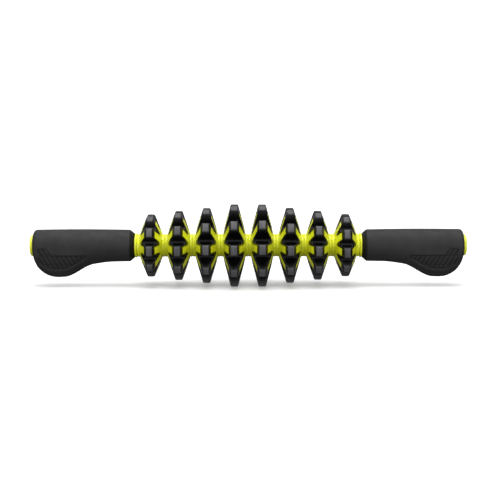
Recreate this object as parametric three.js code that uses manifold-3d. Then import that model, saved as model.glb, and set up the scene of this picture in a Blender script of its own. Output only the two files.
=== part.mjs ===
// A hand-held massage roller: eight lugged wheels that spin freely, side by side, on a steel
// shaft between two rubber-covered handles. Each wheel is a moulded core with a rubber tread.
// Millimetres, +Z up, the shaft along X, and the origin at the middle of the shaft.
// -Y is the front, and the palm swells of the handles hang towards -Z.
import * as THREE from 'three';
import { mergeVertices } from 'three/addons/utils/BufferGeometryUtils.js';
import Module from 'manifold-3d';

const wasm = await Module();
wasm.setup();

// Driving dimensions. Places along the shaft are given for the right-hand side.

const GAP = 0.3;                            // clearance between neighbouring pieces
const CLOSE_GAP = 0.1;                      // the same, where a piece fits closely
const ROUND = 24;                           // sides of a turned piece
const SMALL_ROUND = 12;                     // sides of a screw and its holes
const MERGE_TOLERANCE = 1e-4;               // corners closer than this are one corner

// Wheels, counted from the left end. Sizes and caps repeat outwards from the middle.
const WHEELS = 8;
const WHEEL_PITCH = 28.8;
const TIP_RADII = [42.8, 39, 35.8, 32.3];   // lug corners, from the middle wheels outwards
const TIP_HALF_LENGTHS = [3.85, 3.75, 3.6, 3.5];
const CAP_THICKNESS = [6, 5.5, 5, 4.5];     // rubber over the tip of each core lug
const REST_TURNS_DEG = [4.9, 3.8, 1.2, 1, 0, 2.2, 4.1, 8.9];

const LUGS = 10;
const LUG_HALF_WIDTH = 5.4;
const VALLEY_FLOOR = 24;                    // distance of a valley's floor from the axis
const TREAD_WALL = 1.5;                     // rubber on the sides of a core lug
const TREAD_FLOOR = 7;                      // rubber in a valley
const TREAD_CHAMFER = 0.8;
const TREAD_PROUD = 0.25;                   // how far the tread's edges stand out of the core's flanks
const FLANK_ROOT_HALF_LENGTH = 12.1;        // where the flanks run into the hub

const HUB_RADIUS = 11.7;
const HUB_CHAMFER = 0.9;
const BORE_RADIUS = 6.4;

// Shaft: a round rod with a flat and a tapped hole at each end
const SHAFT_RADIUS = 6;
const SHAFT_END = 205;
const FLAT_START = 176;
const FLAT_HEIGHT = 4.6;
const TAPPED_RADIUS = 2.9;
const TAPPED_START = 187;

// Handle: core, screw and cap
const THRUST_WASHER_THICKNESS = 1;
const THRUST_WASHER_RADIUS = 9;
const FLANGE_RADIUS = 12.6;
const FLANGE_END = 117.6;
const FLANGE_CHAMFER = 0.6;
const SLEEVE_RADIUS = 10.6;
const SLEEVE_END = 219;
const SHOULDER = 206;                       // where the screw's washer bears on the handle core
const SOCKET_RADIUS = 8.5;

const SCREW_WASHER_THICKNESS = 1.5;
const SCREW_WASHER_RADIUS = 7.8;
const SCREW_RADIUS = 2.5;
const SCREW_TIP = 189;
const SCREW_HEAD_RADIUS = 5.2;
const SCREW_HEAD_HEIGHT = 3.3;
const SCREW_CHAMFER = 0.9;
const HEX_SIDES = 6;
const HEX_RADIUS = 2;
const HEX_DEPTH = 2;

const CAP_END = 226;
const CAP_DISC_THICKNESS = 3;
const CAP_RADIUS = 10.9;
const CAP_ROUNDING = 1.2;
const CAP_ROUNDING_MIDDLE = 0.4;            // how far in the middle of the rounded rim lies
const CAP_PLUG_LENGTH = 10;
const CAP_PLUG_WALL = 1.6;
const CAP_FACE_THICKNESS = 2.4;

// Grip: a rubber sleeve with a palm swell hanging from its outer half
const GRIP_SIDES = 28;
const GRIP_START = FLANGE_END + CLOSE_GAP;
const GRIP_END = 222.7;
const GRIP_NOSE_RADIUS = 12.2;
const GRIP_BEVEL_LENGTH = 4.7;
const GRIP_INNER_RADIUS = 16.4;
const GRIP_CROWN = 0.7;                     // how much the top bulges over its length
const CROWN_SPAN = 0.9;                     // the part of a half wave that the bulge follows
const GRIP_CORNER = 4;
const SWELL_START = 138;
const SWELL_LOWEST = 198;
const SWELL_STATIONS = 6;                   // steps in the slope down to the lowest place
const END_STATIONS = 5;                     // steps in the rounded end
const SWELL_DEPTH = 32.9;
const SWELL_END_DEPTH = 10;
const SWELL_FULLNESS = 0.8;                 // below 1, the swell's section is fuller than an ellipse
const STEEP_START = 161;                    // the steep part of the slope
const STEEP_END = 191;
const STEEP_SHARE = 0.55;                   // how much of the drop it makes

// Materials

const lime = new THREE.MeshStandardMaterial({ color: 0xb9c61e, roughness: 0.35, metalness: 0 });
const treadRubber = new THREE.MeshStandardMaterial({ color: 0x121213, roughness: 0.45, metalness: 0 });
const gripRubber = new THREE.MeshStandardMaterial({ color: 0x29292a, roughness: 0.8, metalness: 0 });
const steel = new THREE.MeshStandardMaterial({ color: 0xb9bcc0, roughness: 0.3, metalness: 1 });
const nylon = new THREE.MeshStandardMaterial({ color: 0xe9e7df, roughness: 0.5, metalness: 0 });

// Shape tools

/** A closed mesh with merged corners and no empty triangles, wound so that its faces point out. */
function closed(geometry) {
  const bare = geometry.clone();
  bare.deleteAttribute('normal');
  bare.deleteAttribute('uv');
  const merged = mergeVertices(bare, MERGE_TOLERANCE);
  const corners = merged.getAttribute('position');
  const index = merged.getIndex().array;
  const [a, b, c] = [new THREE.Vector3(), new THREE.Vector3(), new THREE.Vector3()];
  const kept = [];
  let volume = 0;
  for (let i = 0; i < index.length; i += 3) {
    const [p, q, r] = index.subarray(i, i + 3);
    if (p !== q && q !== r && r !== p) {
      a.fromBufferAttribute(corners, p);
      b.fromBufferAttribute(corners, q);
      c.fromBufferAttribute(corners, r);
      volume += a.dot(b.cross(c));
      kept.push([p, q, r]);
    }
  }
  const wound = volume > 0 ? kept : kept.map(([p, q, r]) => [p, r, q]);
  merged.setIndex(wound.flat());
  return merged;
}

function toSolid(geometry) {
  const mesh = closed(geometry);
  const vertProperties = new Float32Array(mesh.getAttribute('position').array);
  const triVerts = new Uint32Array(mesh.getIndex().array);
  return new wasm.Manifold(new wasm.Mesh({ numProp: 3, vertProperties, triVerts }));
}

function toGeometry(solid) {
  const { vertProperties, triVerts } = solid.getMesh();
  const geometry = new THREE.BufferGeometry();
  geometry.setAttribute('position', new THREE.BufferAttribute(vertProperties, 3));
  geometry.setIndex(new THREE.BufferAttribute(triVerts, 1));
  return geometry;
}

/** The first shape with all the others cut out of it. */
function cut(shape, ...tools) {
  const cutAway = tools.map(toSolid).reduce((all, tool) => all.add(tool));
  return toGeometry(toSolid(shape).subtract(cutAway));
}

/** A piece turned about the shaft's axis, from a profile of [x, radius] points. */
function turned(profile, sides = ROUND) {
  const points = profile.map(([x, radius]) => new THREE.Vector2(radius, x));
  return new THREE.LatheGeometry(points, sides).rotateZ(-Math.PI / 2);
}

/** A flat washer. */
function washer(start, end, inner, outer) {
  const section = [[start, inner], [end, inner], [end, outer], [start, outer]];
  return closed(turned([...section, section[0]]));
}

/** A round bar along the shaft's axis. */
function bar(start, end, radius, sides = ROUND) {
  const cylinder = new THREE.CylinderGeometry(radius, radius, end - start, sides);
  return cylinder.rotateZ(-Math.PI / 2).translate((start + end) / 2, 0, 0);
}

/** A block above the given height, used to cut a flat. */
function flatBlock(start, end, height) {
  const size = 2 * SHAFT_RADIUS;
  const box = new THREE.BoxGeometry(end - start, 2 * size, size);
  return box.translate((start + end) / 2, 0, height + size / 2);
}

/** A point at a polar angle about the shaft: 0 is the front, a right angle is the top. */
function polar(x, angle, radius) {
  return new THREE.Vector3(x, -radius * Math.cos(angle), radius * Math.sin(angle));
}

/** A closed ring skinned over loops of points, which follow each other round the shaft. */
function ringSolid(loops) {
  const rows = loops.length;
  const columns = loops[0].length;
  const index = [];
  for (let row = 0; row < rows; row += 1) {
    for (let column = 0; column < columns; column += 1) {
      const nextRow = (row + 1) % rows;
      const nextColumn = (column + 1) % columns;
      const a = row * columns + column;
      const b = nextRow * columns + column;
      const c = nextRow * columns + nextColumn;
      const d = row * columns + nextColumn;
      index.push(a, b, c, a, c, d);
    }
  }
  const geometry = new THREE.BufferGeometry().setFromPoints(loops.flat());
  geometry.setIndex(index);
  return closed(geometry);
}

/** A loop of [x, radius] points that is the same to the left and right of x = 0. */
function mirroredLoop(rightHalf) {
  const leftHalf = rightHalf.map(([x, radius]) => [-x, radius]).reverse();
  return [...rightHalf, ...leftHalf];
}

// Wheels

/** Polar corners of a lugged outline: root, tip, tip and root of each lug, once round. */
function lugOutline(halfWidth, tipFace, floor) {
  const halfPitch = Math.PI / LUGS;
  const rootDepth = (floor - halfWidth * Math.sin(halfPitch)) / Math.cos(halfPitch);
  const corners = [
    [rootDepth, -halfWidth],
    [tipFace, -halfWidth],
    [tipFace, halfWidth],
    [rootDepth, halfWidth],
  ];
  const outline = [];
  for (let lug = 0; lug < LUGS; lug += 1) {
    for (const [depth, side] of corners) {
      const angle = 2 * halfPitch * lug + Math.atan2(side, depth);
      outline.push({ angle, radius: Math.hypot(depth, side) });
    }
  }
  return outline;
}

/** Half the wheel's length along the shaft at a radius, between the hub and the lug tips. */
function flankHalfLength(radius, size) {
  const climb = (radius - HUB_RADIUS) / (TIP_RADII[size] - HUB_RADIUS);
  return THREE.MathUtils.lerp(FLANK_ROOT_HALF_LENGTH, TIP_HALF_LENGTHS[size], climb);
}

function tipFace(size) {
  return Math.sqrt(TIP_RADII[size] ** 2 - LUG_HALF_WIDTH ** 2);
}

/** Moulded core: a hub with a bore, widening into lugs under the rubber. */
function wheelCore(size) {
  const halfWidth = LUG_HALF_WIDTH - TREAD_WALL - GAP;
  const face = tipFace(size) - CAP_THICKNESS[size] - GAP;
  const outline = lugOutline(halfWidth, face, VALLEY_FLOOR - TREAD_FLOOR - GAP);
  const hubHalfLength = (WHEEL_PITCH - GAP) / 2;
  const loops = outline.map(({ angle, radius }) => {
    const rightHalf = [
      [flankHalfLength(radius, size) - TREAD_PROUD, radius],
      [FLANK_ROOT_HALF_LENGTH - TREAD_PROUD, HUB_RADIUS],
      [hubHalfLength - HUB_CHAMFER, HUB_RADIUS],
      [hubHalfLength, HUB_RADIUS - HUB_CHAMFER],
      [hubHalfLength, BORE_RADIUS],
    ];
    return mirroredLoop(rightHalf).map(([x, r]) => polar(x, angle, r));
  });
  return ringSolid(loops);
}

/** Rubber tread: a lugged band that covers the core's lugs and valleys. */
function wheelTread(size) {
  const outer = lugOutline(LUG_HALF_WIDTH, tipFace(size), VALLEY_FLOOR);
  const inner = lugOutline(
    LUG_HALF_WIDTH - TREAD_WALL,
    tipFace(size) - CAP_THICKNESS[size],
    VALLEY_FLOOR - TREAD_FLOOR,
  );
  const loops = outer.map((corner, station) => {
    const under = inner[station];
    const edge = corner.radius - TREAD_CHAMFER;
    const right = [
      polar(flankHalfLength(corner.radius, size) - TREAD_CHAMFER, corner.angle, corner.radius),
      polar(flankHalfLength(edge, size), corner.angle, edge),
      polar(flankHalfLength(under.radius, size), under.angle, under.radius),
    ];
    const left = right.map((point) => new THREE.Vector3(-point.x, point.y, point.z));
    return [...right, ...left.reverse()];
  });
  return ringSolid(loops);
}

/** Wheel by its number from the left, turned as far as it has rolled at rest. */
function wheel(number) {
  const fromMiddle = number - (WHEELS + 1) / 2;
  const size = Math.floor(Math.abs(fromMiddle));
  const group = new THREE.Group();
  group.add(
    piece(`wheel_core_${number}`, wheelCore(size), lime),
    piece(`wheel_tread_${number}`, wheelTread(size), treadRubber),
  );
  group.position.x = fromMiddle * WHEEL_PITCH;
  group.rotation.x = THREE.MathUtils.degToRad(REST_TURNS_DEG[number - 1]);
  return group;
}

// Shaft

/** Steel rod. Each end has a flat that keys it to its handle, and a tapped hole. */
function shaft() {
  return cut(
    bar(-SHAFT_END, SHAFT_END, SHAFT_RADIUS),
    flatBlock(FLAT_START, SHAFT_END + GAP, FLAT_HEIGHT),
    flatBlock(-SHAFT_END - GAP, -FLAT_START, FLAT_HEIGHT),
    bar(TAPPED_START, SHAFT_END + GAP, TAPPED_RADIUS, SMALL_ROUND),
    bar(-SHAFT_END - GAP, -TAPPED_START, TAPPED_RADIUS, SMALL_ROUND),
  );
}

// Handles

const HUBS_END = (WHEELS * WHEEL_PITCH - GAP) / 2;
const THRUST_WASHER_START = HUBS_END + GAP;
const RECESS_FLOOR = THRUST_WASHER_START + THRUST_WASHER_THICKNESS + GAP;
const FLANGE_START = THRUST_WASHER_START + GAP;
const SCREW_WASHER_START = SHOULDER + GAP;
const SCREW_HEAD_START = SCREW_WASHER_START + SCREW_WASHER_THICKNESS + GAP;

function thrustWasher() {
  const end = THRUST_WASHER_START + THRUST_WASHER_THICKNESS;
  return washer(THRUST_WASHER_START, end, SHAFT_RADIUS + GAP, THRUST_WASHER_RADIUS);
}

/** Moulded tube inside the grip, with a flange next to the wheels and a keyed bore. */
function handleCore() {
  const blank = turned([
    [FLANGE_START, 0],
    [FLANGE_START, FLANGE_RADIUS - FLANGE_CHAMFER],
    [FLANGE_START + FLANGE_CHAMFER, FLANGE_RADIUS],
    [FLANGE_END - FLANGE_CHAMFER, FLANGE_RADIUS],
    [FLANGE_END, FLANGE_RADIUS - FLANGE_CHAMFER],
    [FLANGE_END, SLEEVE_RADIUS],
    [SLEEVE_END, SLEEVE_RADIUS],
    [SLEEVE_END, 0],
  ]);
  const keyedBore = cut(
    bar(FLAT_START + GAP, SHOULDER + GAP, SHAFT_RADIUS + GAP),
    flatBlock(FLAT_START, SHOULDER + 2 * GAP, FLAT_HEIGHT + GAP),
  );
  return cut(
    blank,
    bar(FLANGE_START - GAP, RECESS_FLOOR, THRUST_WASHER_RADIUS + GAP),
    bar(FLANGE_START, FLAT_START + 2 * GAP, SHAFT_RADIUS + GAP),
    keyedBore,
    bar(SHOULDER, SLEEVE_END + GAP, SOCKET_RADIUS),
  );
}

/** Distance from the axis to the top of the grip: a slight crown and a rounded outer corner. */
function gripTop(x) {
  const along = (x - GRIP_START) / (GRIP_END - GRIP_START);
  const crown = GRIP_INNER_RADIUS + GRIP_CROWN * Math.sin(Math.PI * CROWN_SPAN * along);
  const intoCorner = Math.max(0, x - (GRIP_END - GRIP_CORNER));
  return crown - GRIP_CORNER + Math.sqrt(GRIP_CORNER ** 2 - intoCorner ** 2);
}

/** Distance from the axis to the bottom: a slope with a steep part, then an elliptic end. */
function gripBottom(x) {
  if (x <= SWELL_LOWEST) {
    const gentle = THREE.MathUtils.smoothstep(x, SWELL_START, SWELL_LOWEST);
    const steep = THREE.MathUtils.smoothstep(x, STEEP_START, STEEP_END);
    const drop = THREE.MathUtils.lerp(gentle, steep, STEEP_SHARE);
    return THREE.MathUtils.lerp(gripTop(x), SWELL_DEPTH, drop);
  }
  const fall = (x - SWELL_LOWEST) / (GRIP_END - SWELL_LOWEST);
  return SWELL_END_DEPTH + (SWELL_DEPTH - SWELL_END_DEPTH) * Math.sqrt(1 - fall ** 2);
}

/** A point of the grip's skin, which is round above the axis and a full, rounded wedge below it. */
function gripPoint(x, angle) {
  const top = gripTop(x);
  const forward = Math.cos(angle);
  const up = Math.sin(angle);
  if (up >= 0) {
    return new THREE.Vector3(x, -top * forward, top * up);
  }
  const bottom = gripBottom(x);
  const swell = THREE.MathUtils.clamp((bottom - top) / (SWELL_DEPTH - GRIP_INNER_RADIUS), 0, 1);
  const power = THREE.MathUtils.lerp(1, SWELL_FULLNESS, swell);
  return new THREE.Vector3(
    x,
    -top * Math.sign(forward) * Math.abs(forward) ** power,
    -bottom * Math.abs(up) ** power,
  );
}

/** Rubber sleeve over the handle core, closed round the end cap's plug. */
function grip() {
  const bodyStations = [GRIP_START + GRIP_BEVEL_LENGTH];
  for (let step = 0; step < SWELL_STATIONS; step += 1) {
    bodyStations.push(THREE.MathUtils.lerp(SWELL_START, SWELL_LOWEST, step / SWELL_STATIONS));
  }
  for (let step = 0; step <= END_STATIONS; step += 1) {
    const turn = Math.PI / 2 * step / END_STATIONS;
    bodyStations.push(THREE.MathUtils.lerp(SWELL_LOWEST, GRIP_END, Math.sin(turn)));
  }
  const boreRadius = SLEEVE_RADIUS + GAP;
  const mouthRadius = SOCKET_RADIUS + CLOSE_GAP;
  const boreEnd = SLEEVE_END + GAP;
  const loops = [];
  for (let side = 0; side < GRIP_SIDES; side += 1) {
    const angle = 2 * Math.PI * side / GRIP_SIDES;
    loops.push([
      polar(GRIP_START, angle, boreRadius),
      polar(GRIP_START, angle, GRIP_NOSE_RADIUS),
      ...bodyStations.map((x) => gripPoint(x, angle)),
      polar(GRIP_END, angle, mouthRadius),
      polar(boreEnd, angle, mouthRadius),
      polar(boreEnd, angle, boreRadius),
    ]);
  }
  return ringSolid(loops);
}

function screwWasher() {
  const end = SCREW_WASHER_START + SCREW_WASHER_THICKNESS;
  return washer(SCREW_WASHER_START, end, TAPPED_RADIUS, SCREW_WASHER_RADIUS);
}

/** Pan-head screw with a hexagonal socket, which clamps the handle core to the shaft. */
function endScrew() {
  const headEnd = SCREW_HEAD_START + SCREW_HEAD_HEIGHT;
  const blank = turned([
    [SCREW_TIP, 0],
    [SCREW_TIP, SCREW_RADIUS - GAP],
    [SCREW_TIP + SCREW_CHAMFER, SCREW_RADIUS],
    [SCREW_HEAD_START, SCREW_RADIUS],
    [SCREW_HEAD_START, SCREW_HEAD_RADIUS],
    [headEnd - SCREW_CHAMFER, SCREW_HEAD_RADIUS],
    [headEnd, SCREW_HEAD_RADIUS - SCREW_CHAMFER],
    [headEnd, 0],
  ], SMALL_ROUND);
  return cut(blank, bar(headEnd - HEX_DEPTH, headEnd + GAP, HEX_RADIUS, HEX_SIDES));
}

/** Moulded cap: a disc with a rounded rim and a hollow plug that presses into the handle core. */
function endCap() {
  const discStart = CAP_END - CAP_DISC_THICKNESS;
  const plugStart = discStart - CAP_PLUG_LENGTH;
  const plugRadius = SOCKET_RADIUS - GAP;
  const face = CAP_END - CAP_FACE_THICKNESS;
  return closed(turned([
    [face, 0],
    [face, plugRadius - CAP_PLUG_WALL],
    [plugStart, plugRadius - CAP_PLUG_WALL],
    [plugStart, plugRadius],
    [discStart, plugRadius],
    [discStart, CAP_RADIUS],
    [CAP_END - CAP_ROUNDING, CAP_RADIUS],
    [CAP_END - CAP_ROUNDING_MIDDLE, CAP_RADIUS - CAP_ROUNDING_MIDDLE],
    [CAP_END, CAP_RADIUS - CAP_ROUNDING],
    [CAP_END, 0],
  ]));
}

/** Everything fixed to one end of the shaft. The left handle is the right one turned round. */
function handle(side, turn) {
  const group = new THREE.Group();
  group.add(
    piece(`thrust_washer_${side}`, thrustWasher(), nylon),
    piece(`handle_core_${side}`, handleCore(), lime),
    piece(`grip_${side}`, grip(), gripRubber),
    piece(`screw_washer_${side}`, screwWasher(), steel),
    piece(`end_screw_${side}`, endScrew(), steel),
    piece(`end_cap_${side}`, endCap(), lime),
  );
  group.rotation.z = turn;
  return group;
}

// Assembly

function piece(name, geometry, material) {
  const mesh = new THREE.Mesh(geometry, material);
  mesh.name = name;
  return mesh;
}

const roller = new THREE.Group();
roller.add(piece('shaft', shaft(), steel));
for (let number = 1; number <= WHEELS; number += 1) {
  roller.add(wheel(number));
}
roller.add(handle('left', Math.PI), handle('right', 0));

export default roller;
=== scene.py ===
"""Looks of the massage roller: rubber treads, moulded cores and ribbed grips in a white studio."""

import math

import bpy
import numpy as np
from mathutils import Matrix, Vector


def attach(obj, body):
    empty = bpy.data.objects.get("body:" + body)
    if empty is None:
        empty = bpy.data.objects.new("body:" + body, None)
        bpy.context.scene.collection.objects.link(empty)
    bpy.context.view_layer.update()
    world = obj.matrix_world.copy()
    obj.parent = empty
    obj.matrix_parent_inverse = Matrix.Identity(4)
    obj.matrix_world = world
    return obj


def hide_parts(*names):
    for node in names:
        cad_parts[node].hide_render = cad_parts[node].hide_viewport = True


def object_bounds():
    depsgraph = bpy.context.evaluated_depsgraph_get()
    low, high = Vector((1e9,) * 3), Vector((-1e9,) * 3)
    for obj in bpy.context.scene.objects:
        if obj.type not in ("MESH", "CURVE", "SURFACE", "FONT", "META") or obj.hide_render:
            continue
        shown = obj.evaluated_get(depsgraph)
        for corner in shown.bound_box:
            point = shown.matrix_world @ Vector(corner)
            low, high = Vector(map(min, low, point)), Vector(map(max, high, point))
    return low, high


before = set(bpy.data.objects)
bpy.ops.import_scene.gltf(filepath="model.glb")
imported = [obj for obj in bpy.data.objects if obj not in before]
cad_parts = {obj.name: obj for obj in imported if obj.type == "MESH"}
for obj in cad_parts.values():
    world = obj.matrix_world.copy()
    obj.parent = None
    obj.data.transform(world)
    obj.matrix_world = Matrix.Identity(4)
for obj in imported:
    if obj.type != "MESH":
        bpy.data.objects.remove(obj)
cad_low, cad_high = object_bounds()

# Lengths are in millimetres until a mesh is made. Angles about the shaft start at the front.
MM = 0.001

# The body that holds the shaft and both handles
STICK = "stick"

# Wheels. Their four sizes are listed from the middle pair of wheels outwards.
WHEELS = 8
WHEEL_PITCH = 28.8
TIP_RADII = (42.8, 39, 35.8, 32.3)
TIP_HALF_LENGTHS = (3.85, 3.75, 3.6, 3.5)
CAP_THICKNESS = (6, 5.5, 5, 4.5)
REST_TURNS_DEG = (4.9, 3.8, 1.2, 1, 0, 2.2, 4.1, 8.9)
LUGS = 10
HALF_PITCH = math.pi / LUGS
LUG_HALF_WIDTH = 5.4
VALLEY_FLOOR = 24
TREAD_WALL = 1.5
TREAD_FLOOR = 7
TREAD_PROUD = 0.25
TREAD_LIP = 1.6
TREAD_ROUND = 1.15
TIP_ROUND = 1.8
TIP_CROWN = 0.7
# Painted light on the lug walls: lighter near the tips, fading to dark over this depth towards the
# valley floors, where shade falls
WALL_PAINTED_LIGHT = 0.24
WALL_PAINTED_LIGHT_DEPTH = 8
CORE_TIP_ROUND = 0.5
MIDDLE_SHARE = 0.02
VALLEY_STEPS = 8
WALL_STEPS = 6
CORNER_STEPS = 5
FACE_STEPS = 8
EDGE_STEPS = 5
FLANK_ROOT_HALF_LENGTH = 12.1
HUB_RADIUS = 11.7
BORE_RADIUS = 6.4
CORE_GAP = 0.02

# Handles. Their places along the shaft are those of the right-hand one.
GRIP_START = 117.7
GRIP_END = 222.7
GRIP_BEVEL_LENGTH = 4.7
GRIP_INNER_RADIUS = 16.4
GRIP_CROWN = 0.7
CROWN_SPAN = 0.9
GRIP_CORNER = 4
SWELL_START = 138
SWELL_LOWEST = 198
SWELL_DEPTH = 32.9
SWELL_END_DEPTH = 10
STEEP_START = 161
STEEP_END = 191
STEEP_SHARE = 0.55
SWELL_FULLNESS = 0.8


# Mesh tools

FLAT_FACE_WEIGHT = 60
SMALLEST = 1e-9


def smooth(value, start, end):
    """0 before start, 1 after end, and an S curve in between."""
    share = np.clip((value - start) / (end - start), 0, 1)
    return share * share * (3 - 2 * share)


def grid_faces(rows, columns):
    """Quads over a grid of points that closes on itself in both directions."""
    row = np.arange(rows)[:, None]
    column = np.arange(columns)[None, :]
    next_row = (row + 1) % rows
    next_column = (column + 1) % columns
    corners = (
        row * columns + column,
        next_row * columns + column,
        next_row * columns + next_column,
        row * columns + next_column,
    )
    return np.stack(corners, axis=-1).reshape(-1, 4)


def signed_volume(points, faces):
    """The volume of a closed mesh of quads, below 0 where its faces point in."""
    a, b, c, d = (points[faces[:, i]] for i in range(4))
    tetrahedra = np.cross(a, b) * c + np.cross(a, c) * d
    return float(tetrahedra.sum()) / 6


def add_mesh(name, points, faces, material, body, replaced=(), mask=None):
    """A smooth-shaded piece made of quads. Its flat faces keep their flat shading.

    The mask runs from 0 to 1: how worn a tread's tips are, with painted light on its walls,
    or how much darker a grip is: its nose, and painted shade in its ribbed panel.
    """
    if signed_volume(points, faces) < 0:
        faces = faces[:, ::-1]
    mesh = bpy.data.meshes.new(name)
    mesh.from_pydata((points * MM).tolist(), [], faces.tolist())
    mesh.shade_smooth()
    mesh.materials.append(material)
    if mask is not None:
        attribute = mesh.attributes.new("mask", "FLOAT", "POINT")
        attribute.data.foreach_set("value", mask.astype(np.float32).ravel())
    piece = bpy.data.objects.new(name, mesh)
    bpy.context.scene.collection.objects.link(piece)
    weighted = piece.modifiers.new("flat_faces", "WEIGHTED_NORMAL")
    weighted.weight = FLAT_FACE_WEIGHT
    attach(piece, body)
    if replaced:
        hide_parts(*replaced)
    return piece


def polar(x, angle, radius):
    """Points about the shaft: angle 0 is the front, a right angle is the top."""
    x, angle, radius = np.broadcast_arrays(x, angle, radius)
    return np.stack((x, -radius * np.cos(angle), radius * np.sin(angle)), axis=-1)


def arc(centre, radius, start_deg, end_deg, steps):
    """Points of an arc with the directions from its centre."""
    angles = np.radians(np.linspace(start_deg, end_deg, steps + 1))
    directions = np.stack((np.cos(angles), np.sin(angles)), axis=-1)
    return np.asarray(centre) + radius * directions, directions


# Materials

# A Mix node has several sockets of one name, so its colour sockets are found by place.
MIX_FIRST_COLOUR = 6
MIX_SECOND_COLOUR = 7
MIX_COLOUR_RESULT = 2


class Nodes:
    """Adds nodes to a node tree. An input is given as a value or as another node's output."""

    def __init__(self, tree):
        self.tree = tree

    def node(self, kind, inputs=(), **settings):
        made = self.tree.nodes.new("ShaderNode" + kind)
        for name, value in settings.items():
            setattr(made, name, value)
        for name, value in dict(inputs).items():
            self.put(made.inputs[name], value)
        return made

    def put(self, socket, value):
        if isinstance(value, bpy.types.NodeSocket):
            self.tree.links.new(value, socket)
        else:
            socket.default_value = value

    def between(self, factor, low, high, start=0.3, end=0.7):
        """Low where the factor is at or below start, high at or above end, a ramp between."""
        inputs = {
            "Value": factor,
            "From Min": start,
            "From Max": end,
            "To Min": low,
            "To Max": high,
        }
        return self.node("MapRange", inputs).outputs["Result"]

    def math(self, operation, first, second=0.0):
        inputs = {0: first, 1: second}
        return self.node("Math", inputs, operation=operation).outputs["Value"]


class Shader(Nodes):
    """A procedural material around one Principled shader."""

    def __init__(self, name):
        self.material = bpy.data.materials.new(name)
        self.material.use_nodes = True
        super().__init__(self.material.node_tree)
        self.surface = self.tree.nodes["Principled BSDF"]
        self.place = self.node("TexCoord").outputs["Object"]

    def set(self, **values):
        for name, value in values.items():
            self.put(self.surface.inputs[name.replace("_", " ")], value)

    def stretched(self, scale):
        mapping = self.node("Mapping", {"Vector": self.place, "Scale": scale})
        return mapping.outputs["Vector"]

    def noise(self, scale, detail=3, rough=0.55, stretch=None, distortion=0.0):
        vector = self.place if stretch is None else self.stretched(stretch)
        inputs = {
            "Vector": vector,
            "Scale": scale,
            "Detail": detail,
            "Roughness": rough,
            "Distortion": distortion,
        }
        return self.node("TexNoise", inputs).outputs["Fac"]

    def mix(self, factor, first, second):
        """The first colour where the factor is 0, and the second where it is 1."""
        blend = self.node("Mix", data_type="RGBA")
        self.put(blend.inputs["Factor"], factor)
        self.put(blend.inputs[MIX_FIRST_COLOUR], first)
        self.put(blend.inputs[MIX_SECOND_COLOUR], second)
        return blend.outputs[MIX_COLOUR_RESULT]

    def bump(self, height, strength, distance, below=None):
        inputs = {"Height": height, "Strength": strength, "Distance": distance}
        if below is not None:
            inputs["Normal"] = below
        return self.node("Bump", inputs).outputs["Normal"]

    def edges(self, start, end):
        """1 on sharp outer edges, 0 elsewhere."""
        geometry = self.node("NewGeometry")
        return self.between(geometry.outputs["Pointiness"], 0.0, 1.0, start, end)


def lime_plastic():
    """Moulded satin plastic: faint flow marks, fine grain, paler rubbed edges."""
    shader = Shader("lime_plastic_moulded")
    flow = shader.noise(55, detail=4, stretch=(0.35, 1, 1), distortion=0.6)
    base = shader.mix(
        shader.between(flow, 0, 1), (0.50, 0.525, 0.008, 1), (0.58, 0.605, 0.012, 1)
    )
    worn = shader.math("MULTIPLY", shader.edges(0.56, 0.66), 0.15)
    shader.set(
        Base_Color=shader.mix(worn, base, (0.72, 0.78, 0.10, 1)),
        Roughness=shader.between(shader.noise(160, detail=2), 0.27, 0.38),
        Subsurface_Weight=0.45,
        Subsurface_Scale=0.006,
        IOR=1.5,
    )
    shader.surface.inputs["Subsurface Radius"].default_value = (1.0, 0.9, 0.15)
    wave = shader.bump(shader.noise(90, detail=1), 0.12, 0.0004)
    shader.set(Normal=shader.bump(shader.noise(2600, detail=2), 0.08, 0.00008, wave))
    return shader.material


def tread_rubber():
    """Black rubber: glossy walls, and lug tips that are rubbed to a matte grey."""
    shader = Shader("tread_rubber_moulded")
    cloud = shader.noise(70, detail=4)
    streaks = shader.noise(420, detail=3, stretch=(1, 0.12, 0.12))
    glossy = shader.mix(
        shader.between(cloud, 0, 1), (0.0018, 0.0018, 0.0019, 1), (0.0032, 0.0032, 0.0034, 1)
    )
    rubbed = shader.mix(
        shader.between(streaks, 0, 1), (0.052, 0.052, 0.055, 1), (0.076, 0.076, 0.079, 1)
    )
    # The mask is wear on the lug tips, and painted light on the walls below them, fading to dark
    # towards the valleys
    worn = shader.node("Attribute", attribute_name="mask").outputs["Fac"]
    patchy = shader.math("MULTIPLY", worn, shader.between(cloud, 0.75, 1.0))
    base = shader.mix(patchy, glossy, rubbed)
    bloom = shader.math("MULTIPLY", shader.edges(0.53, 0.64), 0.02)
    walls = shader.between(streaks, 0.22, 0.32)
    tips = shader.between(streaks, 0.46, 0.56)
    difference = shader.math("SUBTRACT", tips, walls)
    rough = shader.math("ADD", walls, shader.math("MULTIPLY", difference, worn))
    shader.set(
        Base_Color=shader.mix(bloom, base, (0.05, 0.05, 0.052, 1)),
        Roughness=rough,
        IOR=1.45,
        Specular_IOR_Level=0.15,
    )
    wave = shader.bump(streaks, 0.10, 0.0002)
    shader.set(Normal=shader.bump(shader.noise(1900, detail=2), 0.12, 0.00009, wave))
    return shader.material


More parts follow.
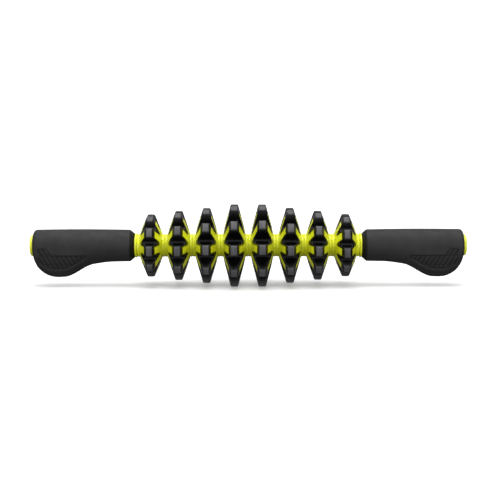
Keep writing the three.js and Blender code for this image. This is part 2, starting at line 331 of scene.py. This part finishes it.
def grip_rubber():
    """Matte soft-touch rubber: fine leathery grain, uneven sheen, paler rubbed edges."""
    shader = Shader("grip_rubber_moulded")
    cloud = shader.noise(38, detail=5, distortion=0.4)
    body = shader.mix(
        shader.between(cloud, 0, 1), (0.0112, 0.0112, 0.0116, 1), (0.0154, 0.0154, 0.0160, 1)
    )
    # The mask darkens the nose, and paints shade into the ribbed panel's recess and grooves
    dark = shader.node("Attribute", attribute_name="mask").outputs["Fac"]
    base = shader.mix(dark, body, (0.002, 0.002, 0.0024, 1))
    rubbed = shader.math("MULTIPLY", shader.edges(0.52, 0.58), 0.25)
    shader.set(
        Base_Color=shader.mix(rubbed, base, (0.04, 0.04, 0.042, 1)),
        Roughness=shader.between(shader.noise(120, detail=3), 0.62, 0.76),
        Specular_IOR_Level=0.3,
        IOR=1.4,
    )
    cells = shader.node("TexVoronoi", {"Vector": shader.place, "Scale": 1500.0})
    grain = shader.bump(cells.outputs["Distance"], 0.25, 0.0001)
    shader.set(Normal=shader.bump(shader.noise(3200, detail=2), 0.14, 0.00006, grain))
    return shader.material


def ground_steel():
    """Steel with fine turning marks round the shaft."""
    shader = Shader("steel_ground")
    marks = shader.noise(900, detail=3, stretch=(1, 0.05, 0.05))
    shader.set(
        Base_Color=shader.mix(
            shader.between(marks, 0, 1), (0.47, 0.48, 0.50, 1), (0.60, 0.61, 0.62, 1)
        ),
        Metallic=1.0,
        Roughness=shader.between(marks, 0.24, 0.40),
        Normal=shader.bump(marks, 0.15, 0.00005),
    )
    return shader.material


def nylon():
    """Natural nylon, slightly cloudy."""
    shader = Shader("nylon_natural")
    cloud = shader.noise(300, detail=3)
    shader.set(
        Base_Color=shader.mix(
            shader.between(cloud, 0, 1), (0.74, 0.72, 0.66, 1), (0.82, 0.80, 0.75, 1)
        ),
        Roughness=shader.between(cloud, 0.42, 0.55),
        Normal=shader.bump(shader.noise(2400), 0.1, 0.00005),
    )
    return shader.material


LIME = lime_plastic()
TREAD = tread_rubber()
GRIP = grip_rubber()
STEEL = ground_steel()
NYLON = nylon()


# Wheels


def half_lug(half_width, face, floor, tip_round):
    """From the middle of a valley up one wall to the edge of a lug's tip.

    Returns points and outward directions, each as (front, up) parts.
    """
    sine = math.sin(HALF_PITCH)
    valley_round = (floor - half_width / sine) / (1 / sine - 1)
    centre_distance = (half_width + valley_round) / sine
    valley_centre = (centre_distance * math.cos(HALF_PITCH), -half_width - valley_round)
    valley_start = 180 - math.degrees(HALF_PITCH)
    valley, valley_in = arc(valley_centre, valley_round, valley_start, 90, VALLEY_STEPS)
    corner_centre = (face - tip_round, tip_round - half_width)
    corner, corner_out = arc(corner_centre, tip_round, -90, 0, CORNER_STEPS)
    climb = np.linspace(0, 1, WALL_STEPS + 1)[1:-1, None]
    wall = valley[-1] + (corner[0] - valley[-1]) * climb
    wall_out = np.tile((0.0, -1.0), (len(wall), 1))
    points = np.concatenate((valley, wall, corner))
    return points, np.concatenate((-valley_in, wall_out, corner_out))


def lug_outline(half_width, face, floor, tip_round, crown=0.0):
    """All the lugs and valleys of a wheel, seen along the shaft.

    Returns points and outward directions, each as (front, up) parts, and a mask for each point:
    1 on the tips, which are worn, painted light on the walls below them, and 0 in the valleys.
    """
    half_points, half_out = half_lug(half_width, face, floor, tip_round)
    flat_half_width = half_width - tip_round
    sides = np.linspace(-flat_half_width, flat_half_width, FACE_STEPS + 1)[1:-1]
    face_points = np.stack((np.full_like(sides, face), sides), axis=-1)
    face_out = np.tile((1.0, 0.0), (len(face_points), 1))
    flip = np.array((1.0, -1.0))
    points = np.concatenate((half_points, face_points, half_points[::-1] * flip))[:-1]
    out = np.concatenate((half_out, face_out, half_out[::-1] * flip))[:-1]
    sideways = np.clip(np.abs(points[:, 1]) / half_width, 0, 1)
    near_tip = smooth(points[:, 0], face - 3 * tip_round, face - tip_round)
    bulge = crown * (1 - sideways**2) * near_tip
    points = points + np.stack((bulge, 0 * bulge), axis=-1)
    on_tip = smooth(out[:, 0], 0.25, 0.97) * near_tip
    # Painted light: the walls are lighter near the tip and darker deeper in the valley, as light
    # and shade fall on them
    painted_wall_light = WALL_PAINTED_LIGHT * smooth(points[:, 0], face - WALL_PAINTED_LIGHT_DEPTH, face)
    outlines = []
    outs = []
    for lug in range(LUGS):
        turn = 2 * HALF_PITCH * lug
        rotation = np.array(
            ((math.cos(turn), math.sin(turn)), (-math.sin(turn), math.cos(turn)))
        )
        outlines.append(points @ rotation)
        outs.append(out @ rotation)
    worn = np.tile(np.maximum(on_tip, painted_wall_light), LUGS)
    return np.concatenate(outlines), np.concatenate(outs), worn


def flank_half_length(radius, size):
    """Half the wheel's length along the shaft at a radius: the flanks are cones."""
    climb = (radius - HUB_RADIUS) / (TIP_RADII[size] - HUB_RADIUS)
    return FLANK_ROOT_HALF_LENGTH + (TIP_HALF_LENGTHS[size] - FLANK_ROOT_HALF_LENGTH) * climb


def flank_at(flat, size):
    """Half the wheel's length at each point of a flat outline."""
    return flank_half_length(np.linalg.norm(flat, axis=-1), size)


def mirrored(section):
    """A right-hand half section with its mirror image, as one closed loop."""
    x, y, z = np.moveaxis(section, -1, 0)
    left = np.stack((-x, y, z), axis=-1)[:, ::-1]
    return np.concatenate((section, left), axis=1)


def across(flat, x):
    """Points of a flat outline, moved along the shaft: outline axes are front and up."""
    return np.stack((x, -flat[..., 0], flat[..., 1]), axis=-1)


def tip_face(size):
    """The height of a lug's flat tip above the shaft's axis."""
    return math.sqrt(TIP_RADII[size] ** 2 - LUG_HALF_WIDTH**2)


def inner_outline(size):
    """The outline where a wheel's core and its tread meet."""
    return lug_outline(
        LUG_HALF_WIDTH - TREAD_WALL,
        tip_face(size) - CAP_THICKNESS[size],
        VALLEY_FLOOR - TREAD_FLOOR,
        CORE_TIP_ROUND,
    )


def tread_points(size):
    """A tread: its outer skin, its rounded edges, its flanks and the skin against the core.

    Returns the points as a closed grid, and each point's mask: wear on the lug tips, and painted
    light on the walls below them.
    """
    face = tip_face(size)
    outer, out, tips = lug_outline(LUG_HALF_WIDTH, face, VALLEY_FLOOR, TIP_ROUND, TIP_CROWN)
    inner, _, _ = inner_outline(size)
    skin_length = flank_at(outer, size) - TREAD_ROUND
    columns = []
    worn = []
    for share in (0, 0.35, 0.7):
        off_middle = MIDDLE_SHARE + (1 - MIDDLE_SHARE) * share
        columns.append(across(outer, skin_length * off_middle))
        worn.append(tips)
    for turn in np.radians(np.linspace(0, 90, EDGE_STEPS + 1)):
        flat = outer - out * TREAD_ROUND * (1 - math.cos(turn))
        columns.append(across(flat, flank_at(flat, size) - TREAD_ROUND * (1 - math.sin(turn))))
        worn.append(tips * (1 - smooth(turn, 0.1, 0.9)))
    rim = outer - out * TREAD_ROUND
    for share in (0.5, 1.0):
        flat = rim + (inner - rim) * share
        columns.append(across(flat, flank_at(flat, size)))
    columns.append(across(inner, flank_at(inner, size) - TREAD_LIP))
    worn += [0 * tips] * (len(columns) - len(worn))
    worn = np.stack(worn, axis=1)
    worn = np.concatenate((worn, worn[:, ::-1]), axis=1)
    return mirrored(np.stack(columns, axis=1)), worn


# (distance from the wheel's middle, radius) from a flank's root over the hub's bead to the bore
HUB_PROFILE = (
    (11.45, 12.6),
    (11.55, 12.1),
    (11.7, 11.68),
    (11.9, 11.5),
    (12.15, 11.6),
    (12.45, 11.78),
    (12.8, 11.86),
    (13.2, 11.84),
    (13.55, 11.72),
    (13.85, 11.56),
    (14.15, 11.44),
    (14.38, 11.36),
    (14.39, 9.0),
    (14.39, BORE_RADIUS),
)


def core_points(size):
    """A core: the skin under its tread, its flanks, its hub and its bore.

    Returns the points as a closed grid, and None because a core has no wear.
    """
    flat, out, _ = inner_outline(size)
    flat = flat - out * CORE_GAP
    radius = np.linalg.norm(flat, axis=-1)
    angle = np.arctan2(flat[:, 1], flat[:, 0])
    columns = [across(flat, flank_half_length(radius, size) - TREAD_LIP)]
    _, root_radius = HUB_PROFILE[0]
    for share in (0, 0.25, 0.5, 0.75):
        level = radius + (root_radius - radius) * share
        straight = flank_half_length(level, size) - TREAD_PROUD
        columns.append(polar(straight, angle, level))
    for x, level in HUB_PROFILE:
        columns.append(polar(np.full_like(angle, x), angle, np.full_like(angle, level)))
    return mirrored(np.stack(columns, axis=1)), None


def place_wheel(points, number):
    """A wheel's points, turned as at rest and moved to their place on the shaft."""
    turn = Matrix.Rotation(math.radians(REST_TURNS_DEG[number - 1]), 3, "X")
    moved = points.reshape(-1, 3) @ np.array(turn).T
    moved[:, 0] += (number - (WHEELS + 1) / 2) * WHEEL_PITCH
    return moved


# Wheel 1 is at the left end. Size 0 is the middle pair's and size 3 the outermost pair's.
for number in range(1, WHEELS + 1):
    size = int(abs(number - (WHEELS + 1) / 2))
    for kind, make, material, slot in (
        ("core", core_points, LIME, "lime_plastic"),
        ("tread", tread_points, TREAD, "tread_rubber"),
    ):
        points, worn = make(size)
        faces = grid_faces(*points.shape[:2])
        placed = place_wheel(points, number)
        body = f"wheel_{number}"
        replaced = (f"wheel_{kind}_{number}",)
        add_mesh(f"{kind}_{number}", placed, faces, material, body, replaced, worn)


# Handles


def grip_top(x):
    """Half the grip's width, and its height above the axis: crowned, with a rounded end."""
    along = (x - GRIP_START) / (GRIP_END - GRIP_START)
    crown = GRIP_INNER_RADIUS + GRIP_CROWN * np.sin(math.pi * CROWN_SPAN * along)
    into_corner = np.clip(x - (GRIP_END - GRIP_CORNER), 0, GRIP_CORNER)
    return crown - GRIP_CORNER + np.sqrt(GRIP_CORNER**2 - into_corner**2)


def grip_bottom(x):
    """The grip's depth below the axis: the same as its height at first, then a palm swell."""
    gentle = smooth(x, SWELL_START, SWELL_LOWEST)
    steep = smooth(x, STEEP_START, STEEP_END)
    drop = gentle + (steep - gentle) * STEEP_SHARE
    slope = grip_top(x) + (SWELL_DEPTH - grip_top(x)) * drop
    fall = np.clip((x - SWELL_LOWEST) / (GRIP_END - SWELL_LOWEST), 0, 1)
    end = SWELL_END_DEPTH + (SWELL_DEPTH - SWELL_END_DEPTH) * np.sqrt(1 - fall**2)
    return np.where(x <= SWELL_LOWEST, slope, end)


def grip_skin(x, angle):
    """Points of the grip: round above the axis, a full rounded wedge below it."""
    top = grip_top(x)
    bottom = grip_bottom(x)
    below = np.sin(angle) < 0
    swell = np.clip((bottom - top) / (SWELL_DEPTH - GRIP_INNER_RADIUS), 0, 1)
    power = np.where(below, 1 + (SWELL_FULLNESS - 1) * swell, 1.0)
    depth = np.where(below, bottom, top)
    cosine = np.sign(np.cos(angle)) * np.abs(np.cos(angle)) ** power
    sine = np.sign(np.sin(angle)) * np.abs(np.sin(angle)) ** power
    return np.stack((x + 0 * angle, -top * cosine, depth * sine), axis=-1)


# The ribbed panel on the front and the back of a palm swell. Heights are from the shaft's axis.
PANEL_INNER = 166.1
PANEL_OUTER = 217.1
PANEL_STEP_START = 202.6
PANEL_STEP_END = 207.5
PANEL_TOP = -8.3
PANEL_HIGH_TOP = -1.2
PANEL_MARGIN = 8.2
PANEL_RECESS = 0.45
PANEL_EDGE = 0.8
# How much painted shade darkens the ribbed panel, in step with the depth of its recess, grooves
# and border line
PANEL_PAINTED_SHADE = 0.6
# The relief fades in over this range of how squarely the skin faces the front or the back
PANEL_FADE_START = 0.12
PANEL_FADE_END = 0.4
RIB_PITCH = 4.93
RIB_SLANT = 0.55
RIB_PHASE = 173.2
RIB_PHASE_HEIGHT = -9.6
GROOVE_DEPTH = 0.75
GROOVE_HALF_WIDTH = 0.85
GROOVES_START = 0.6
GROOVES_FULL = 1.4
CROSS_GROOVES = (-9.6, -19.1)
CROSS_GROOVE_HALF_WIDTH = 0.45
BORDER_MARGIN = 4.6
BORDER_DEPTH = 0.4
BORDER_INNER_HALF = 0.2
BORDER_OUTER_HALF = 0.9
BORDER_RUN_OUT = 3
# Half the width of the ramp on each side of a groove
SOFT = 0.45


def panel_relief(x, z):
    """How far the ribbed panel of a palm swell lies below the grip's skin."""
    step = np.clip((x - PANEL_STEP_START) / (PANEL_STEP_END - PANEL_STEP_START), 0, 1)
    top = PANEL_TOP + (PANEL_HIGH_TOP - PANEL_TOP) * step
    low = PANEL_MARGIN - grip_bottom(x)
    ends = np.minimum(x - PANEL_INNER, PANEL_OUTER - x)
    inside = np.minimum(np.minimum(top - z, z - low), ends)
    recess = PANEL_RECESS * smooth(inside, 0, PANEL_EDGE)
    lean = x - RIB_PHASE - RIB_SLANT * (z - RIB_PHASE_HEIGHT)
    off_rib = np.abs((lean + RIB_PITCH / 2) % RIB_PITCH - RIB_PITCH / 2)
    across_lean = off_rib / math.hypot(1, RIB_SLANT)
    groove = 1 - smooth(across_lean, GROOVE_HALF_WIDTH - SOFT, GROOVE_HALF_WIDTH + SOFT)
    for height in CROSS_GROOVES:
        off = np.abs(z - height)
        half = CROSS_GROOVE_HALF_WIDTH
        groove = np.maximum(groove, 1 - smooth(off, half - SOFT, half + SOFT))
    grooves = GROOVE_DEPTH * groove * smooth(inside, GROOVES_START, GROOVES_FULL)
    border_off = np.abs(z + grip_bottom(x) - BORDER_MARGIN)
    border_line = 1 - smooth(border_off, BORDER_INNER_HALF, BORDER_OUTER_HALF)
    border = BORDER_DEPTH * border_line * smooth(ends, -BORDER_RUN_OUT, 0)
    return recess + grooves + border


# How finely a grip is divided along and around
BODY_STATIONS = 36
PANEL_SPACING = 0.48
END_STATIONS = 62
UPPER_SIDES = 56
LOWER_SIDES = 180


def grip_stations():
    """Places along the grip, closer together over the ribbed panel and the rounded end."""
    nose = GRIP_START + GRIP_BEVEL_LENGTH
    body = np.linspace(nose + 0.6, PANEL_INNER - 1, BODY_STATIONS)
    panel = np.arange(PANEL_INNER - 0.5, SWELL_LOWEST, PANEL_SPACING)
    end_turns = np.radians(np.linspace(0, 90, END_STATIONS))
    end = SWELL_LOWEST + (GRIP_END - SWELL_LOWEST) * np.sin(end_turns)
    return np.concatenate((body, panel, end))


def grip_angles():
    """Angles round the grip, closer together on the lower half."""
    upper = np.linspace(0, math.pi, UPPER_SIDES, endpoint=False)
    lower = np.linspace(math.pi, 2 * math.pi, LOWER_SIDES, endpoint=False)
    return np.concatenate((upper, lower))


GRIP_BORE = 10.65
GRIP_MOUTH = 8.6
GRIP_BORE_END = 219.3
# (distance from the grip's inner end, radius) from the bevelled inner end to the skin
NOSE_PROFILE = (
    (0, 11.6),
    (0.15, 12.05),
    (0.5, 12.6),
    (2.3, 14.25),
    (3.9, 15.65),
    (4.3, 15.98),
    (4.7, 16.25),
)


def add_grip(side, side_sign):
    """A grip: its dark bevelled nose, its skin with the ribbed panel, its mouth and its bore."""
    x = grip_stations()[None, :]
    angle = grip_angles()[:, None]
    skin = grip_skin(x + 0 * angle, angle + 0 * x)
    around = np.roll(skin, -1, axis=0) - np.roll(skin, 1, axis=0)
    along = np.gradient(skin, axis=1)
    out = np.cross(along, around)
    out /= np.maximum(np.linalg.norm(out, axis=-1, keepdims=True), SMALLEST)
    sideways = smooth(np.abs(out[..., 1]), PANEL_FADE_START, PANEL_FADE_END)
    relief = panel_relief(skin[..., 0], skin[..., 2]) * sideways
    skin = skin - out * relief[..., None]
    nose = [
        polar(GRIP_START + x_off, angle, radius + 0 * angle) for x_off, radius in NOSE_PROFILE
    ]
    mouth = [
        polar(GRIP_END, angle, GRIP_MOUTH + 0 * angle),
        polar(GRIP_BORE_END, angle, GRIP_MOUTH + 0 * angle),
        polar(GRIP_BORE_END, angle, GRIP_BORE + 0 * angle),
        polar(GRIP_START, angle, GRIP_BORE + 0 * angle),
    ]
    points = np.concatenate((*nose, skin, *mouth), axis=1)
    points[..., 0] *= side_sign
    faces = grid_faces(*points.shape[:2])
    # The nose is coloured darker. The ribbed panel gets painted shade, darker where its recess,
    # grooves and border sink deeper
    dark = np.zeros(points.shape[:2])
    dark[:, : len(NOSE_PROFILE) - 1] = 1
    dark[:, len(NOSE_PROFILE) : len(NOSE_PROFILE) + relief.shape[1]] = relief * PANEL_PAINTED_SHADE
    corners = points.reshape(-1, 3)
    replaced = (f"grip_{side}",)
    add_mesh(f"sleeve_{side}", corners, faces, GRIP, STICK, replaced, dark)


# Closed (x, radius) outline of a handle's core: the flange, the tube in the grip and its bores
FLANGE_PROFILE = (
    (115.22, 9.3),
    (115.22, 11.5),
    (115.32, 11.95),
    (115.6, 12.3),
    (116.05, 12.53),
    (116.65, 12.6),
    (117.05, 12.53),
    (117.38, 12.3),
    (117.56, 11.95),
    (117.6, 11.5),
    (117.6, 10.6),
    (150, 10.6),
    (190, 10.6),
    (219, 10.6),
    (219, 8.5),
    (206, 8.5),
    (206, 6.3),
    (160, 6.3),
    (116.65, 6.3),
    (116.65, 9.3),
)
# Closed (x, radius) outline of an end cap: the head, and the hollow plug that holds it
CAP_PROFILE = (
    (223.0, 8.2),
    (223.0, 10.5),
    (223.08, 10.75),
    (223.3, 10.9),
    (224.4, 10.9),
    (224.85, 10.84),
    (225.25, 10.66),
    (225.6, 10.36),
    (225.84, 10.0),
    (225.97, 9.6),
    (226.0, 9.2),
    (226.0, 6.0),
    (226.0, 0.4),
    (226.0, 0.05),
    (223.6, 0.05),
    (223.6, 6.6),
    (213.0, 6.6),
    (213.0, 7.8),
    (213.4, 8.2),
)

TURNED_SIDES = 96


def add_turned(name, profile, side_sign, replaced):
    """A lime piece turned about the shaft from (x, radius) points."""
    profile = np.array(profile, float)
    angles = np.linspace(0, 2 * math.pi, TURNED_SIDES, endpoint=False)
    points = polar(side_sign * profile[None, :, 0], angles[:, None], profile[None, :, 1])
    faces = grid_faces(*points.shape[:2])
    add_mesh(name, points.reshape(-1, 3), faces, LIME, STICK, (replaced,))


for side, side_sign in (("left", -1), ("right", 1)):
    add_grip(side, side_sign)
    add_turned(f"flange_{side}", FLANGE_PROFILE, side_sign, f"handle_core_{side}")
    add_turned(f"cap_{side}", CAP_PROFILE, side_sign, f"end_cap_{side}")


# The CAD pieces that have no copy here: the thrust washers are nylon, and the others are steel.
for name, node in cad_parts.items():
    if not node.hide_render:
        node.data.materials.clear()
        node.data.materials.append(NYLON if "thrust" in name else STEEL)


# Studio. Its lengths are in metres.

FLOOR_SIZE = 30.0
FLOOR_DROP = 0.0002
FLOOR_COLOUR = (0.56, 0.56, 0.56, 1)
# The floor's glow rises over two ranges of distance from the part's centre
FLOOR_GLOW_NEAR = 0.27
FLOOR_GLOW_FAR = 0.9
FLOOR_GLOW_START = 0.3
FLOOR_GLOW_END = 2.0
HANDLES_GLOW = 0.11
HANDLES_GLOW_START = 0.105
HANDLES_GLOW_END = 0.16


def add_floor():
    """A white floor just under the part.

    Its own glow keeps it white far away, and makes the handles' shadows lighter.
    """
    half = FLOOR_SIZE / 2
    height = cad_low.z - FLOOR_DROP
    corners = ((-half, -half), (half, -half), (half, half), (-half, half))
    mesh = bpy.data.meshes.new("floor")
    mesh.from_pydata([(x, y, height) for x, y in corners], [], [(0, 1, 2, 3)])
    floor = bpy.data.objects.new("floor", mesh)
    bpy.context.scene.collection.objects.link(floor)
    shader = Shader("floor_white")
    distance = shader.node("VectorMath", {0: shader.place}, operation="LENGTH")
    away = distance.outputs["Value"]
    under_handles = shader.between(
        away, 0.0, HANDLES_GLOW, HANDLES_GLOW_START, HANDLES_GLOW_END
    )
    overall = shader.between(
        away, FLOOR_GLOW_NEAR, FLOOR_GLOW_FAR, FLOOR_GLOW_START, FLOOR_GLOW_END
    )
    shader.set(
        Base_Color=FLOOR_COLOUR,
        Roughness=0.9,
        Specular_IOR_Level=0.1,
        Emission_Color=(1, 1, 1, 1),
        Emission_Strength=shader.math("ADD", under_handles, overall),
    )
    mesh.materials.append(shader.material)
    floor.visible_diffuse = False
    floor.visible_glossy = False


# (sine of the height above the dome's equator, brightness); the dome's top leans to the front
DOME = ((-1, 0.15), (-0.5, 0.35), (0.1, 0.72), (0.6, 1.25), (1, 1.9))
DOME_TILT = math.radians(22)
# The dome dims towards the ends of the stick as a direction's sideways part grows.
DOME_ENDS_START = 0.25
DOME_ENDS_END = 0.85
DOME_ENDS_DIMMED = 0.28
BACKDROP = 1.1


def dome_brightness(nodes):
    """Brightest above and in front, dim below, and dimmer towards both ends of the stick."""
    direction = nodes.node("TexCoord").outputs["Generated"]
    axis = (0, -math.sin(DOME_TILT), math.cos(DOME_TILT))
    height = nodes.node("VectorMath", {0: direction, 1: axis}, operation="DOT_PRODUCT")
    level = nodes.between(height.outputs["Value"], 0, 1, -1, 1)
    ramp = nodes.node("ValToRGB", {"Fac": level})
    ramp.color_ramp.interpolation = "EASE"
    while len(ramp.color_ramp.elements) < len(DOME):
        ramp.color_ramp.elements.new(0.5)
    for element, (sine, brightness) in zip(ramp.color_ramp.elements, DOME):
        element.position = (sine + 1) / 2
        element.color = (brightness, brightness, brightness, 1)
    axes = nodes.node("SeparateXYZ", {"Vector": direction})
    sideways = nodes.math("ABSOLUTE", axes.outputs["X"])
    ends = nodes.between(sideways, 1, DOME_ENDS_DIMMED, DOME_ENDS_START, DOME_ENDS_END)
    return nodes.math("MULTIPLY", ramp.outputs["Color"], ends)


def add_world():
    """A white backdrop for the camera, and the dome for the light that falls on the part."""
    world = bpy.data.worlds.new("studio")
    bpy.context.scene.world = world
    world.use_nodes = True
    nodes = Nodes(world.node_tree)
    to_camera = nodes.node("LightPath").outputs["Is Camera Ray"]
    strength = nodes.between(to_camera, dome_brightness(nodes), BACKDROP, 0, 1)
    background = nodes.tree.nodes["Background"]
    nodes.put(background.inputs["Color"], (1, 1, 1, 1))
    nodes.put(background.inputs["Strength"], strength)


# Name, place, target, width and height, and power in watts
LIGHTS = (
    ("overhead", (0, -0.1, 1.3), (0, 0, 0), (0.9, 0.9), 19),
    ("front_box", (0, -1.6, 0.25), (0, 0, 0), (1.2, 0.5), 2.5),
    ("left_box", (-0.85, -0.9, 0.02), (-0.15, 0, -0.01), (0.3, 0.1), 4.5),
    ("right_box", (0.85, -0.9, 0.02), (0.15, 0, -0.01), (0.3, 0.1), 4.5),
)


def add_light(name, place, target, size, power):
    lamp = bpy.data.lights.new(name, "AREA")
    lamp.shape = "RECTANGLE"
    lamp.size, lamp.size_y = size
    lamp.energy = power
    light = bpy.data.objects.new(name, lamp)
    light.location = place
    aim = Vector(target) - Vector(place)
    light.rotation_euler = aim.to_track_quat("-Z", "Y").to_euler()
    bpy.context.scene.collection.objects.link(light)


CAMERA_DISTANCE = 1.2
CAMERA_ELEVATION = math.radians(7)
CAMERA_ROLL = math.radians(0.1)
CAMERA_TARGET = Vector((0.00177, 0, -0.00498))
FRAME_WIDTH = 0.5206
SENSOR_WIDTH = 36


def add_camera():
    """A camera in front of the part and a little above it. The frame's width is at the target."""
    lens = bpy.data.cameras.new("camera")
    lens.sensor_width = SENSOR_WIDTH
    lens.lens = SENSOR_WIDTH * CAMERA_DISTANCE / FRAME_WIDTH
    camera = bpy.data.objects.new("camera", lens)
    back = Vector((0, -math.cos(CAMERA_ELEVATION), math.sin(CAMERA_ELEVATION)))
    camera.location = CAMERA_TARGET + back * CAMERA_DISTANCE
    aim = (-back).to_track_quat("-Z", "Y").to_matrix()
    camera.rotation_euler = (aim @ Matrix.Rotation(-CAMERA_ROLL, 3, "Z")).to_euler()
    bpy.context.scene.collection.objects.link(camera)
    bpy.context.scene.camera = camera


add_floor()
add_world()
for light in LIGHTS:
    add_light(*light)
add_camera()
bpy.context.scene.view_settings.view_transform = "Standard"
